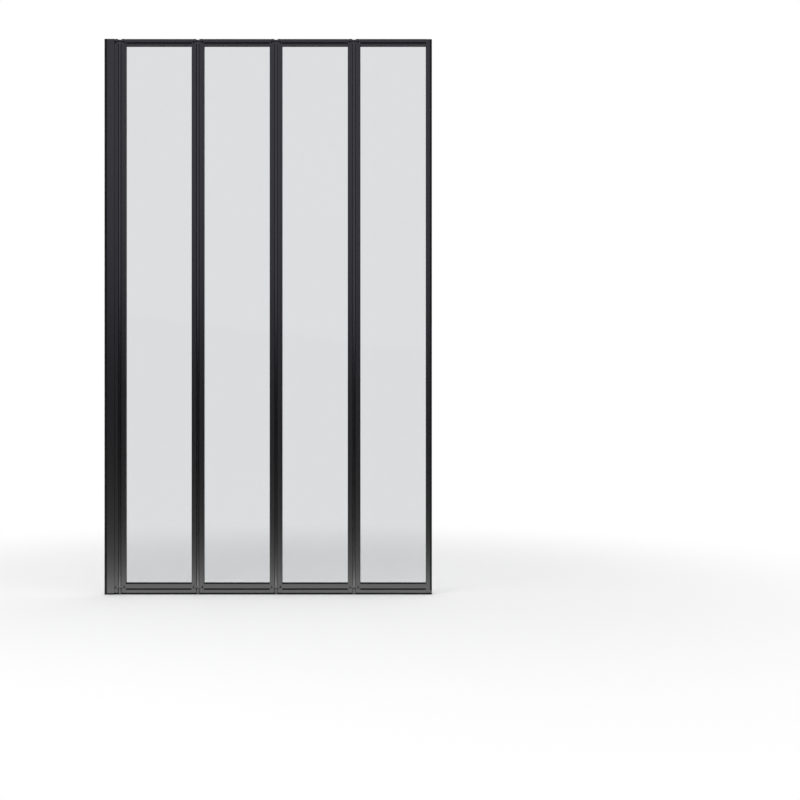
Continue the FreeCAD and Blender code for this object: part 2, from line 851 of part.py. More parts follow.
def make_block_pair(label, axis, right, hinged=True, railed=True):
    """Top and bottom blocks of one stile, turned to face it."""
    top = make_corner_block(
        f"{label}_top", get("top_block_height"), top_chamber, hinged, railed, False, top_screw_rise)
    bottom = make_corner_block(
        f"{label}_bottom", get("bottom_block_height"), bottom_chamber, hinged, railed, True,
        bottom_screw_drop)
    place(top, x=axis, z=top_joint, rotation=ABOUT_Z if right else UNTURNED)
    place(bottom, x=axis, z=bottom_joint, rotation=ABOUT_Y if right else ABOUT_X)
    return [top, bottom]


def make_pins(label, axes):
    """Pivot pins: domed heads on the top blocks, flat heads sunk in the bottom blocks."""
    body = new_body(label)
    stretches = [
        (top_joint + get("pin_floor"), frame_top, get("pin_radius")),
        (frame_top, frame_top + get("pin_head_height"), get("pin_head_radius")),
        (rim_gap, rim_gap + get("sunk_head_height"), get("sunk_head_radius")),
        (rim_gap, bottom_joint - get("pin_floor"), get("pin_radius")),
    ]
    for low, high, radius in stretches:
        circles = new_sketch(body, "XY_Plane", low)
        for axis in axes:
            draw_circle(circles, (axis, 0), radius)
        add_pad(body, circles, high - low)
    crown = frame_top + get("pin_head_height")
    add_fillet(body, get("pin_head_round"), lambda edge: is_rim(edge, crown))
    return body


def make_corner_screws(label, axis):
    """Pan-head screws on the bath side: one into each stile spigot and one into each rail spigot."""
    body = new_body(label)
    place(body, x=axis)
    far_stile = leaf_axis_width - stile_screw_place
    far_rail = leaf_axis_width - rail_screw_place
    stile_heights = (top_joint - get("spigot_length") / 2, bottom_joint + get("spigot_length") / 2)
    rail_heights = (top_joint + top_screw_rise, bottom_joint - bottom_screw_drop)
    places = [(x, z) for x in (stile_screw_place, far_stile) for z in stile_heights]
    places += [(x, z) for x in (rail_screw_place, far_rail) for z in rail_heights]
    add_screws(body, places, half_depth, get("screw_radius"), get("screw_length"),
               get("screw_head_radius"), get("screw_head_height"), get("screw_head_round"))
    return body


def strip_outline(outer):
    """I-section between two stiles: a thin web past their noses and a bead at each face."""
    web = get("strip_web") / 2
    upper = [(web, bead_inner), (bead_half, bead_inner), (bead_half, outer)]
    lower = [(across, -along) for across, along in reversed(upper)]
    return mirrored_outline(lower + upper)


def make_cover_strip(label, centre):
    """Strip as long as the space between the links, with a tongue of its web in each of them."""
    body = new_body(label)
    place(body, x=centre, z=bottom_link_base)
    profile = new_sketch(body, "XY_Plane")
    draw_outline(profile, strip_outline(bead_outer))
    add_pad(body, profile, strip_length)
    web = get("strip_web") / 2
    half = get("tongue_half_width")
    tongue = new_sketch(body, "XY_Plane", -get("tongue_length"))
    draw_box(tongue, (-web, -half), (web, half))
    add_pad(body, tongue, strip_length + 2 * get("tongue_length"))
    return body


def make_link(label, plug_length):
    """Bar with two eyes and a plug that carries the strip's section on to the screen's edge."""
    body = new_body(label, keep=False)
    bar = new_sketch(body, "XY_Plane")
    draw_stadium(bar, axis_spacing / 2, get("link_half_width"))
    for side in (-1, 1):
        draw_circle(bar, (side * axis_spacing / 2, 0), bush_radius)
    add_pad(body, bar, get("link_thickness"))
    web = get("strip_web") / 2
    stalk = new_sketch(body, "XY_Plane", get("link_thickness"))
    draw_box(stalk, (-web, -bead_inner), (web, bead_inner))
    add_pad(body, stalk, plug_length)
    plug = new_sketch(body, "XY_Plane", get("link_thickness") + get("plug_notch"))
    draw_outline(plug, strip_outline(bead_outer - get("plug_recess")))
    add_pad(body, plug, plug_length - get("plug_notch"))
    fit = get("spigot_fit")
    half = get("tongue_half_width") + fit
    socket = new_sketch(body, "XY_Plane")
    draw_box(socket, (-web - fit, -half), (web + fit, half))
    add_pocket(body, socket, get("tongue_length") + fit, backward=True)
    return body


def make_links(label, centre):
    top = make_link(f"{label}_top", frame_top - get("plug_end_gap") - top_link_base - get("link_thickness"))
    bottom = make_link(f"{label}_bottom", bottom_link_base - get("link_thickness") - get("plug_end_gap"))
    place(top, x=centre, z=top_link_base)
    place(bottom, x=centre, z=bottom_link_base, rotation=ABOUT_X)
    return group(label, [top, bottom])


def make_bushes(label, centre):
    """Plain sleeves that turn on the pins, one in each eye of the two links."""
    body = new_body(label)
    place(body, x=centre)
    for base in (top_link_base, bottom_link_base - get("link_thickness")):
        rings = new_sketch(body, "XY_Plane", base)
        for side in (-1, 1):
            eye = (side * axis_spacing / 2, 0)
            draw_circle(rings, eye, bush_radius)
            draw_circle(rings, eye, get("pin_radius") + get("pin_clearance"))
        add_pad(body, rings, get("link_thickness"))
    return body


def make_lock_screws():
    """Screws through the channel's slots into the jamb, which clamp it once it stands plumb."""
    body = new_body("jamb_lock_screws")
    seat = half_depth + gap + get("channel_wall") + get("spigot_fit")
    shank = seat - nose_chamber_half + get("lock_screw_end")
    place_x = get("jamb_tail") + get("lock_screw_inset")
    add_screws(body, [(place_x, height) for height in lock_screw_heights], seat,
               get("lock_screw_radius"), shank, get("lock_head_radius"),
               get("lock_head_height"), get("lock_head_round"))
    return body


def make_foot_seal():
    """Soft pad between the jamb's bottom block and the bath rim."""
    body = new_body("jamb_foot_seal")
    place(body, x=jamb_axis)
    pad_gap = get("seal_end_gap")
    plan = new_sketch(body, "XY_Plane")
    draw_box(plan, (pad_gap - stile_inner, -get("seal_half_width")),
             (nose_tip - pad_gap, get("seal_half_width")))
    add_pad(body, plan, rim_gap)
    return body


def make_edge_bumper(label, axis):
    """Soft D-section along the last stile, held by an arrow-headed stem in the stile's slot."""
    body = new_body(label)
    place(body, x=axis)
    half = get("bumper_half_width")
    low = rim_gap + get("bumper_rise")
    section = new_sketch(body, "XY_Plane", low)
    draw_box(section, (nose_tip, -half), (bumper_face, half))
    add_pad(body, section, frame_top - low)
    add_fillet(body, get("bumper_round"),
               lambda edge: runs_along(edge, 2) and near(edge.Vertexes[0].Point.x, bumper_face.value))
    stem = get("bumper_stem_half_width")
    head = get("bumper_head_half_width")
    head_base = nose_chamber_far - get("bumper_head_thickness")
    stem_low = bottom_joint + get("spigot_length") + gap
    stem_high = top_joint - get("spigot_length") - gap
    arrow = new_sketch(body, "XY_Plane", stem_low)
    draw_outline(arrow, [
        (nose_tip, -stem),
        (nose_chamber_far, -stem),
        (nose_chamber_far, -head),
        (head_base, -stem),
        (head_base, stem),
        (nose_chamber_far, head),
        (nose_chamber_far, stem),
        (nose_tip, stem),
    ])
    add_pad(body, arrow, stem_high - stem_low)
    return body


doc.recompute()

# Wall side
make_wall_channel()
make_channel_cap()
make_jamb()
group("jamb_end_blocks", make_block_pair("jamb_block", jamb_axis, right=True, railed=False))
make_pins("jamb_pins", [jamb_axis])
make_lock_screws()
make_foot_seal()

# Hinges and leaves, from the wall to the free edge
for index in range(LEAF_COUNT):
    number = index + 1
    left_axis = left_axes[index]
    right_axis = right_axes[index]
    hinge_centre = hinge_centres[index]
    last = number == LEAF_COUNT
    hinge = f"hinge_{number}"
    leaf = f"panel_{number}"

    make_cover_strip(f"{hinge}_cover_strip", hinge_centre)
    make_links(f"{hinge}_links", hinge_centre)
    make_bushes(f"{hinge}_bushes", hinge_centre)

    make_stile(f"{leaf}_left_stile", left_axis, right=False)
    make_stile(f"{leaf}_right_stile", right_axis, right=True, free_edge=last)
    make_top_rail(f"{leaf}_top_rail", left_axis)
    make_bottom_rail(f"{leaf}_bottom_rail", left_axis)
    make_glass(f"{leaf}_glass", left_axis)
    make_glazing_seal(f"{leaf}_glazing_seal", left_axis)
    make_bottom_seal(f"{leaf}_bottom_seal", left_axis, free_edge=last)
    blocks = make_block_pair(f"{leaf}_left_block", left_axis, right=False)
    blocks += make_block_pair(f"{leaf}_right_block", right_axis, right=True, hinged=not last)
    group(f"{leaf}_corner_blocks", blocks)
    make_pins(f"{leaf}_pins", [left_axis] if last else [left_axis, right_axis])
    make_corner_screws(f"{leaf}_corner_screws", left_axis)
    if last:
        make_edge_bumper(f"{leaf}_edge_bumper", right_axis)

doc.recompute()
for item in doc.Objects:
    if "Invalid" in item.State or "Error" in item.State:
        raise RuntimeError(f"{item.Label} failed: {item.State}")
for item in sub_parts:
    if item.Shape.isNull() or not item.Shape.isValid() or not item.Shape.Solids:
        raise RuntimeError(f"{item.Label} has no valid solid")

os.makedirs("parts", exist_ok=True)
for item in sub_parts:
    item.Shape.exportStep(f"parts/{item.Label}.step")
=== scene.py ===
import json
import bmesh
import bpy
from math import pi, tau
from mathutils import Matrix, Vector


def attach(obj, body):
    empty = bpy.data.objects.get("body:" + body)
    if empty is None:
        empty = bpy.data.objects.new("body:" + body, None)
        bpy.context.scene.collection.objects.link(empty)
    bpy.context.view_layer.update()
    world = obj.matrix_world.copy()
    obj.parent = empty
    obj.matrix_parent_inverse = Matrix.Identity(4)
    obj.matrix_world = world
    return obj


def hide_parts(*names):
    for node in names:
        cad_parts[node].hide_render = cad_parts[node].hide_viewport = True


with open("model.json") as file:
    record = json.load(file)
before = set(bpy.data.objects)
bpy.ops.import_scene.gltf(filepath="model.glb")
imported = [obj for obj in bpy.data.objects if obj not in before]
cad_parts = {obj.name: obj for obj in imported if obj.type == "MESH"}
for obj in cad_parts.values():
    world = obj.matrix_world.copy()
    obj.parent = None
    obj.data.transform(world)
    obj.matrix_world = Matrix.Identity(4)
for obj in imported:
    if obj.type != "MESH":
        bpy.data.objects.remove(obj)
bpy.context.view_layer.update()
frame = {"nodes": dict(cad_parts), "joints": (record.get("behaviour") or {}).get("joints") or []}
nodes = frame["nodes"]

# Wall channel: a stepped U-section of extruded aluminium, fixed with screws through its base.
# It is powder coated satin black, so a fine orange peel lies over the faint lines of the die.
COAT_BLACK = (0.0028, 0.0029, 0.0036, 1)
COAT_WORN = (0.0042, 0.0043, 0.0052, 1)
COAT_CLOUDS = 14.0
COAT_PEEL = (750.0, 0.00001, 0.6)
COAT_GLOSS = (0.33, 0.39)
COAT_INDEX = 1.66
COAT_GLINT = 1.0
UPRIGHT_LINES = (1400, 1400, 2.5)
LINE_RELIEF = (1.0, 0.00001, 0.25)
CLOUD_DETAIL = 4.0
GRAIN_DETAIL = 3.0
GRAIN_RANGE = (0.3, 0.7)


def add_node(tree, kind, values=None, **settings):
    """Add one shader node with its settings, and set or link its inputs."""
    node = tree.nodes.new(kind)
    for name, value in settings.items():
        setattr(node, name, value)
    for socket, value in (values or {}).items():
        if isinstance(value, bpy.types.NodeSocket):
            tree.links.new(value, node.inputs[socket])
        else:
            node.inputs[socket].default_value = value
    return node


def new_finish(name):
    """An empty material with its tree, its object coordinates and its output."""
    material = bpy.data.materials.new(name)
    material.use_nodes = True
    tree = material.node_tree
    tree.nodes.clear()
    place = add_node(tree, "ShaderNodeTexCoord").outputs["Object"]
    output = add_node(tree, "ShaderNodeOutputMaterial")
    return material, tree, place, output


def mottle(tree, place, scale, dark, light):
    """Cloudy colour between two close shades."""
    cloud = add_node(tree, "ShaderNodeTexNoise", {"Vector": place, "Scale": scale, "Detail": CLOUD_DETAIL})
    shades = {0: cloud.outputs["Fac"], "A": dark, "B": light}
    return add_node(tree, "ShaderNodeMix", shades, data_type="RGBA").outputs["Result"]


def grain(tree, place, scale, depth, strength, under=None):
    """Fine relief from noise, laid over an earlier relief if there is one."""
    noise = add_node(tree, "ShaderNodeTexNoise", {"Vector": place, "Scale": scale, "Detail": GRAIN_DETAIL})
    values = {"Height": noise.outputs["Fac"], "Strength": strength, "Distance": depth}
    if under is not None:
        values["Normal"] = under
    bump = add_node(tree, "ShaderNodeBump", values)
    return noise.outputs["Fac"], bump.outputs["Normal"]


def spread(tree, value, low, high):
    """Noise stretched over a range of roughness."""
    values = {"Value": value, "From Min": GRAIN_RANGE[0], "From Max": GRAIN_RANGE[1], "To Min": low,
              "To Max": high}
    return add_node(tree, "ShaderNodeMapRange", values).outputs["Result"]


def powder_coat(name, lines, gloss, index):
    """Satin black coat, with its lowest and highest roughness and its index of refraction."""
    material, tree, place, output = new_finish(name)
    drawn = add_node(tree, "ShaderNodeMapping", {"Vector": place, "Scale": lines})
    drawn_relief = grain(tree, drawn.outputs["Vector"], *LINE_RELIEF)[1]
    peel, relief = grain(tree, place, *COAT_PEEL, drawn_relief)
    coat = add_node(tree, "ShaderNodeBsdfPrincipled", {
        "Base Color": mottle(tree, place, COAT_CLOUDS, COAT_BLACK, COAT_WORN),
        "Roughness": spread(tree, peel, *gloss),
        "Normal": relief,
        "IOR": index,
        "Specular IOR Level": COAT_GLINT,
    })
    tree.links.new(coat.outputs["BSDF"], output.inputs["Surface"])
    return material


def dress(node_name, material):
    """Give a CAD node its finish."""
    node = nodes[node_name]
    node.data.materials.clear()
    node.data.materials.append(material)
    return node


upright_coat = powder_coat("satin_black_uprights", UPRIGHT_LINES, COAT_GLOSS, COAT_INDEX)
dress("wall_channel", upright_coat)

# Channel cap: a plug moulded in black nylon that closes the channel's top behind the jamb.
# The mould's spark-eroded face leaves a fine, dry grain.
NYLON_BLACK = (0.0066, 0.0066, 0.0072, 1)
NYLON_PALE = (0.0095, 0.0095, 0.0102, 1)
NYLON_CLOUDS = 60.0
NYLON_PITS = (2400.0, 0.000012, 0.7)
NYLON_GLOSS = (0.28, 0.35)
NYLON_SOCKETS = {"IOR": 1.6, "Specular IOR Level": 1.0}
MOULD_EDGE = 0.00025
WELD_REACH = 0.000002
EDGE_SEGMENTS = 2


def moulded_finish(name, shades, clouds, skin, gloss, sockets):
    """An opaque finish with cloudy shades, and a fine relief that also varies its roughness."""
    material, tree, place, output = new_finish(name)
    marks, relief = grain(tree, place, *skin)
    surface = add_node(tree, "ShaderNodeBsdfPrincipled", {
        "Base Color": mottle(tree, place, clouds, *shades),
        "Roughness": spread(tree, marks, *gloss),
        "Normal": relief,
        **sockets,
    })
    tree.links.new(surface.outputs["BSDF"], output.inputs["Surface"])
    return material


def soften(node_name, material, edge):
    """Give a CAD node its finish, and round its sharp edges."""
    node = dress(node_name, material)
    weld = node.modifiers.new("weld", "WELD")
    weld.merge_threshold = WELD_REACH
    bevel = node.modifiers.new("edge", "BEVEL")
    bevel.width = edge
    bevel.segments = EDGE_SEGMENTS
    bevel.limit_method = "ANGLE"
    bevel.harden_normals = True
    return node


black_nylon = moulded_finish("moulded_black_nylon", (NYLON_BLACK, NYLON_PALE), NYLON_CLOUDS, NYLON_PITS,
                             NYLON_GLOSS, NYLON_SOCKETS)
soften("wall_channel_cap", black_nylon, MOULD_EDGE)

# Hinge jamb: the aluminium extrusion that slides in the channel and carries the first hinge.
# It has the channel's coat, and nylon blocks close its two ends.
dress("hinge_jamb", upright_coat)
soften("jamb_end_blocks", black_nylon, MOULD_EDGE)

# Jamb pins: turned steel pins pressed into the end blocks, with a domed head on top.
# They are chemically blackened, which leaves the turning marks in view.
STEEL_DARK = (0.040, 0.041, 0.044, 1)
STEEL_PALE = (0.062, 0.063, 0.066, 1)
STEEL_CLOUDS = 220.0
STEEL_GLOSS = (0.28, 0.40)
TURNING_MARKS = (900, 900, 6000)
TURNING_RELIEF = (1.0, 0.000006, 0.5)


def blackened_steel(name):
    """Black oxide on steel, with the marks of the lathe."""
    material, tree, place, output = new_finish(name)
    turned = add_node(tree, "ShaderNodeMapping", {"Vector": place, "Scale": TURNING_MARKS})
    marks, relief = grain(tree, turned.outputs["Vector"], *TURNING_RELIEF)
    steel = add_node(tree, "ShaderNodeBsdfPrincipled", {
        "Base Color": mottle(tree, place, STEEL_CLOUDS, STEEL_DARK, STEEL_PALE),
        "Roughness": spread(tree, marks, *STEEL_GLOSS),
        "Normal": relief,
        "Metallic": 1.0,
    })
    tree.links.new(steel.outputs["BSDF"], output.inputs["Surface"])
    return material


black_steel = blackened_steel("blackened_steel")
dress("jamb_pins", black_steel)

# Lock screws: three pan-head screws with a hexagon socket, through the channel's slots into the jamb.
# They clamp the jamb once it stands plumb, and are blackened steel.
LOCK_X = 0.0100
LOCK_HEIGHTS = (0.1500, 0.6995, 1.2490)
LOCK_SEAT = 0.0082
LOCK_SHANK = (0.0020, 0.0048)
LOCK_HEAD = (0.0039, 0.0022)
LOCK_SOCKET = (0.0018, 0.0013)
TIP_WIDTH = 0.7
TIP_TAPER = 0.3
PAN_CROWN = ((1.0, 0.0), (1.0, 0.42), (0.95, 0.68), (0.84, 0.88), (0.68, 1.0))
MOUTH_WIDTH = 1.16
MOUTH_DEPTH = 0.12
SOCKET_CONE = 1.25
HEAD_SIDES = 24
SOCKET_SIDES = 6
SCREW_MERGE = 0.0000005
SCREW_CREASE = 0.6


def add_screw(mesh, seat, shank, head, socket):
    """A pan-head screw driven in along -Y, with the underside of its head at the seat."""
    shank_radius, shank_length = shank
    head_radius, head_height = head
    socket_radius, socket_depth = socket
    made = mesh.verts[:]
    outline = [
        (0, -shank_length),
        (shank_radius * TIP_WIDTH, -shank_length),
        (shank_radius, -shank_length + shank_radius * TIP_TAPER),
        (shank_radius, 0),
        *((head_radius * wide, head_height * high) for wide, high in PAN_CROWN),
        (socket_radius * MOUTH_WIDTH, head_height),
    ]
    recess = [
        (socket_radius, head_height - socket_radius * MOUTH_DEPTH),
        (socket_radius, head_height - socket_depth),
        (0, head_height - socket_depth * SOCKET_CONE),
    ]
    for points, steps in ((outline, HEAD_SIDES), (recess, SOCKET_SIDES)):
        corners = [mesh.verts.new((radius, 0, height)) for radius, height in points]
        edges = [mesh.edges.new(pair) for pair in zip(corners, corners[1:])]
        bmesh.ops.spin(mesh, geom=corners + edges, cent=(0, 0, 0), axis=(0, 0, 1),
                       angle=tau, steps=steps, use_merge=True)
    fresh = [vert for vert in mesh.verts if vert not in made]
    bmesh.ops.remove_doubles(mesh, verts=fresh, dist=SCREW_MERGE)
    fresh = [vert for vert in mesh.verts if vert not in made]
    mouths = [edge for edge in mesh.edges if edge.is_boundary and edge.verts[0] in fresh]
    bmesh.ops.bridge_loops(mesh, edges=mouths)
    turn = Matrix.Translation(seat) @ Matrix.Rotation(-pi / 2, 4, "X")
    bmesh.ops.transform(mesh, matrix=turn, verts=fresh)


def keep_piece(name, mesh, material, body, crease):
    """Turn a finished mesh into a piece that rides on a body, smooth up to its crease angle."""
    bmesh.ops.recalc_face_normals(mesh, faces=mesh.faces[:])
    for face in mesh.faces:
        face.smooth = True
    for edge in mesh.edges:
        edge.smooth = edge.is_manifold and edge.calc_face_angle(0) < crease
    data = bpy.data.meshes.new(name)
    mesh.to_mesh(data)
    mesh.free()
    data.materials.append(material)
    piece = bpy.data.objects.new(name, data)
    bpy.context.scene.collection.objects.link(piece)
    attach(piece, body)
    return piece


lock_mesh = bmesh.new()
for height in LOCK_HEIGHTS:
    add_screw(lock_mesh, Vector((LOCK_X, LOCK_SEAT, height)), LOCK_SHANK, LOCK_HEAD, LOCK_SOCKET)
lock_screws = keep_piece("lock_screws", lock_mesh, black_steel, "jamb", SCREW_CREASE)
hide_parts("jamb_lock_screws")

# Hinges: each is a cover strip of extruded aluminium held between two die-cast links.
# The strips' coat is glossier than the frame's, and the links are painted castings.
# A plain plastic bush in each eye of a link turns on a pin.
LEAVES = (1, 2, 3, 4)
STRIP_EDGE = 0.0004
STRIP_GLOSS = (0.20, 0.24)
STRIP_INDEX = 1.78
CASTING_BLACK = (0.0062, 0.0063, 0.0070, 1)
CASTING_PALE = (0.0088, 0.0089, 0.0097, 1)
CASTING_CLOUDS = 90.0
CASTING_SKIN = (420.0, 0.00002, 0.5)
CASTING_GLOSS = (0.28, 0.36)
CASTING_SOCKETS = {"IOR": 1.65, "Specular IOR Level": 1.0}
BUSH_BLACK = (0.014, 0.014, 0.015, 1)
BUSH_PALE = (0.020, 0.020, 0.021, 1)
BUSH_CLOUDS = 150.0
BUSH_SKIN = (900.0, 0.00001, 0.4)
BUSH_GLOSS = (0.34, 0.44)

strip_coat = powder_coat("gloss_black_strips", UPRIGHT_LINES, STRIP_GLOSS, STRIP_INDEX)
black_casting = moulded_finish("painted_black_casting", (CASTING_BLACK, CASTING_PALE), CASTING_CLOUDS,
                               CASTING_SKIN, CASTING_GLOSS, CASTING_SOCKETS)
bush_plastic = moulded_finish("bearing_plastic", (BUSH_BLACK, BUSH_PALE), BUSH_CLOUDS, BUSH_SKIN,
                              BUSH_GLOSS, {})
for leaf in LEAVES:
    soften(f"hinge_{leaf}_cover_strip", strip_coat, STRIP_EDGE)
    soften(f"hinge_{leaf}_links", black_casting, MOULD_EDGE)
    dress(f"hinge_{leaf}_bushes", bush_plastic)

# Stiles and rails: four aluminium extrusions frame each leaf, with the glass in their pockets.
# The rails have a groove along both faces, and their die lines run level.
LEVEL_LINES = (2.5, 1400, 1400)

rail_coat = powder_coat("satin_black_rails", LEVEL_LINES, COAT_GLOSS, COAT_INDEX)
for leaf in LEAVES:
    dress(f"panel_{leaf}_left_stile", upright_coat)
    dress(f"panel_{leaf}_right_stile", upright_coat)
    dress(f"panel_{leaf}_top_rail", rail_coat)
    dress(f"panel_{leaf}_bottom_rail", rail_coat)

# Groove shade strips: a crowned ribbon of matt black rubber pressed into each rail's grooves, as painted
# shade.
# Its dark line along the rails on both faces stands in for the shade in the grooves.
RUBBER_BLACK = (0.0050, 0.0050, 0.0053, 1)
RUBBER_BLOOM = (0.0080, 0.0080, 0.0084, 1)
RUBBER_CLOUDS = 35.0
RUBBER_SKIN = (1300.0, 0.00002, 0.6)
RUBBER_GLOSS = (0.52, 0.66)
RUBBER_SOCKETS = {"Specular IOR Level": 0.25}
RUBBER_CREASE = 0.9
RAIL_INSET = 0.0065
GROOVE_FLOOR = 0.0048
GROOVE_MIDDLES = (0.0133, 1.3891)
GROOVE_SHADE_SECTION = ((0.0, -0.0020), (0.0004, -0.0020), (0.0007, -0.0013), (0.0008, 0.0),
                (0.0007, 0.0013), (0.0004, 0.0020), (0.0, 0.0020))
pivots = {joint["child"]: joint["pos_m"][0] for joint in frame["joints"] if joint["type"] == "hinge"}
left_axes = [pivots[f"panel_{leaf}"] for leaf in LEAVES]
leaf_axis_width = pivots["link_2"] - pivots["panel_1"]


def extrude_faces(mesh, faces, travel):
    """Extrude flat faces along a straight travel, and keep them as the near end."""
    grown = bmesh.ops.extrude_face_region(mesh, geom=faces, use_keep_orig=True)
    moved = [item for item in grown["geom"] if isinstance(item, bmesh.types.BMVert)]
    bmesh.ops.translate(mesh, verts=moved, vec=travel)


def extrude_level(mesh, section, start, end):
    """Extrude a section of (across, height) corners along X."""
    face = mesh.faces.new([mesh.verts.new((start, across, height)) for across, height in section])
    extrude_faces(mesh, [face], (end - start, 0, 0))


black_rubber = moulded_finish("black_seal_rubber", (RUBBER_BLACK, RUBBER_BLOOM), RUBBER_CLOUDS,
                              RUBBER_SKIN, RUBBER_GLOSS, RUBBER_SOCKETS)
# Each leaf's black rubber strips in the rail grooves are painted shade.
for leaf, axis in zip(LEAVES, left_axes):
    groove_shade_mesh = bmesh.new()
    for side in (-1, 1):
        for middle in GROOVE_MIDDLES:
            section = [(side * (GROOVE_FLOOR + rise), middle + along) for rise, along in GROOVE_SHADE_SECTION]
            extrude_level(groove_shade_mesh, section, axis + RAIL_INSET, axis + leaf_axis_width - RAIL_INSET)
    keep_piece(f"leaf_{leaf}_groove_shade_strips", groove_shade_mesh, black_rubber, f"panel_{leaf}",
               RUBBER_CREASE)

# Corner blocks and pins: blocks moulded in black nylon join stile to rail and hold the steel pivot pins.
# Their spigots are pushed into the frame's hollows, and the pins' domed heads stand on the top blocks.
for leaf in LEAVES:
    soften(f"panel_{leaf}_corner_blocks", black_nylon, MOULD_EDGE)
    dress(f"panel_{leaf}_pins", black_steel)

# Corner screws: eight small pan-head screws a leaf, on its inner face, into the blocks' spigots.
# They are blackened steel with a hexagon socket.
STILE_SCREW_INSET = -0.00195
RAIL_SCREW_INSET = 0.0140
STILE_SCREW_HEIGHTS = (0.0325, 1.3765)
RAIL_SCREW_HEIGHTS = (0.0176, 1.3951)
CORNER_SEAT = 0.0063
CORNER_SHANK = (0.0011, 0.0064)
CORNER_HEAD = (0.0020, 0.0009)
CORNER_SOCKET = (0.0010, 0.0006)

for leaf, axis in zip(LEAVES, left_axes):
    screw_mesh = bmesh.new()
    for inset, heights in ((STILE_SCREW_INSET, STILE_SCREW_HEIGHTS), (RAIL_SCREW_INSET, RAIL_SCREW_HEIGHTS)):
        for along in (axis + inset, axis + leaf_axis_width - inset):
            for height in heights:
                add_screw(screw_mesh, Vector((along, CORNER_SEAT, height)), CORNER_SHANK, CORNER_HEAD,
                          CORNER_SOCKET)
    corner_screws = keep_piece(f"leaf_{leaf}_screws", screw_mesh, black_steel, f"panel_{leaf}",
                               SCREW_CREASE)
    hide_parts(f"panel_{leaf}_corner_screws")

# Glass: one pane of clear toughened float glass a leaf, its edges ground to a small arris.
# Tempering leaves a long, faint roller wave across the pane.
# The pane's grey tint is painted shade, for a room seen through the glass.
GLASS_SHADE_GREY = (0.742, 0.752, 0.760, 1)
GLASS_SHADE_COOL = (0.728, 0.742, 0.752, 1)
GLASS_CLOUDS = 3.0
GLASS_INDEX = 1.5
GLASS_ARRIS = 0.0005
ROLLER_WAVE = (1.5, 1.5, 5.0)
WAVE_RELIEF = (1.0, 0.0002, 0.05)


def toughened_glass(name):
    """Clear glass, tinted grey as painted shade of a room seen through it, with the roller wave."""
    material, tree, place, output = new_finish(name)
    rolled = add_node(tree, "ShaderNodeMapping", {"Vector": place, "Scale": ROLLER_WAVE})
    glass = add_node(tree, "ShaderNodeBsdfPrincipled", {
        "Base Color": mottle(tree, place, GLASS_CLOUDS, GLASS_SHADE_GREY, GLASS_SHADE_COOL),
        "Roughness": 0.0,
        "Normal": grain(tree, rolled.outputs["Vector"], *WAVE_RELIEF)[1],
        "IOR": GLASS_INDEX,
        "Transmission Weight": 1.0,
    })
    tree.links.new(glass.outputs["BSDF"], output.inputs["Surface"])
    return material


clear_glass = toughened_glass("clear_toughened_glass")
for leaf in LEAVES:
    pane = soften(f"panel_{leaf}_glass", clear_glass, GLASS_ARRIS)
    pane.visible_shadow = False

# Glazing seals: a closed U-section gasket of black rubber grips each pane in its pockets.
# Its lip shows as a dark line along the bottom rail, where it sheds water.
for leaf in LEAVES:
    soften(f"panel_{leaf}_glazing_seal", black_rubber, MOULD_EDGE)

# Bottom seals: an extruded rubber strip under each leaf, with two soft lips that curl out where it stands.
# An arrow-headed stem holds it in the bottom rail's slot, and a tongue at each hinge closes the gap there.
# The jamb stands on a short length of the same strip.
SEAL_REACH = 0.0052
FREE_EDGE_REACH = 0.0086
SEAL_SECTION = (
    (0.0055, 0.0040), (0.0055, 0.0027), (0.0049, 0.0023), (0.0047, 0.0016), (0.0049, 0.0008),
    (0.0055, 0.0002), (0.0052, 0.0000), (0.0044, 0.0004), (0.0039, 0.0013), (0.0036, 0.0022),
    (0.0030, 0.0026),
)
STEM_SECTION = ((0.0011, 0.0039), (0.0011, 0.0054), (0.0022, 0.0054), (0.0011, 0.0069))
TONGUE_SECTION = ((0.0008, 0.0040), (0.0008, 0.0006), (0.0004, 0.0002))
TONGUE_REACH = 0.0074
JAMB_FOOT_START = 0.0225


def whole_section(half):
    """A section that is the same on both sides of the middle, from its right half."""
    return [*half, *((-across, height) for across, height in reversed(half))]


for leaf, axis in zip(LEAVES, left_axes):
    seal_mesh = bmesh.new()
    far_axis = axis + leaf_axis_width
    last = leaf == LEAVES[-1]
    far_reach = FREE_EDGE_REACH if last else SEAL_REACH
    far_tongue = FREE_EDGE_REACH if last else TONGUE_REACH
    extrude_level(seal_mesh, whole_section(SEAL_SECTION), axis - SEAL_REACH, far_axis + far_reach)
    extrude_level(seal_mesh, whole_section(STEM_SECTION), axis + RAIL_INSET, far_axis - RAIL_INSET)
    extrude_level(seal_mesh, whole_section(TONGUE_SECTION), axis - TONGUE_REACH, far_axis + far_tongue)
    bottom_seal = keep_piece(f"leaf_{leaf}_bottom_seal", seal_mesh, black_rubber, f"panel_{leaf}",
                             RUBBER_CREASE)
    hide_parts(f"panel_{leaf}_bottom_seal")

foot_mesh = bmesh.new()
jamb_axis = pivots["link_1"]
extrude_level(foot_mesh, whole_section(SEAL_SECTION), JAMB_FOOT_START, jamb_axis + SEAL_REACH)
extrude_level(foot_mesh, whole_section(TONGUE_SECTION), JAMB_FOOT_START, jamb_axis + TONGUE_REACH)
jamb_foot = keep_piece("jamb_foot", foot_mesh, black_rubber, "jamb", RUBBER_CREASE)
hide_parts("jamb_foot_seal")

# Hinge feet: a thin rubber pad glued under each hinge's lower plug, cut to the strip's section.
# It fills the space that the plug leaves below itself.
FOOT_SECTION = ((0.0008, -0.0049), (0.0023, -0.0049), (0.0023, -0.0057), (-0.0023, -0.0057),
                (-0.0023, -0.0049), (-0.0008, -0.0049))
FOOT_HEIGHTS = (0.0002, 0.0012)


def extrude_upright(mesh, section, low, high):
    """Extrude a section of (along, across) corners upwards."""
    face = mesh.faces.new([mesh.verts.new((along, across, low)) for along, across in section])
    extrude_faces(mesh, [face], (0, 0, high - low))


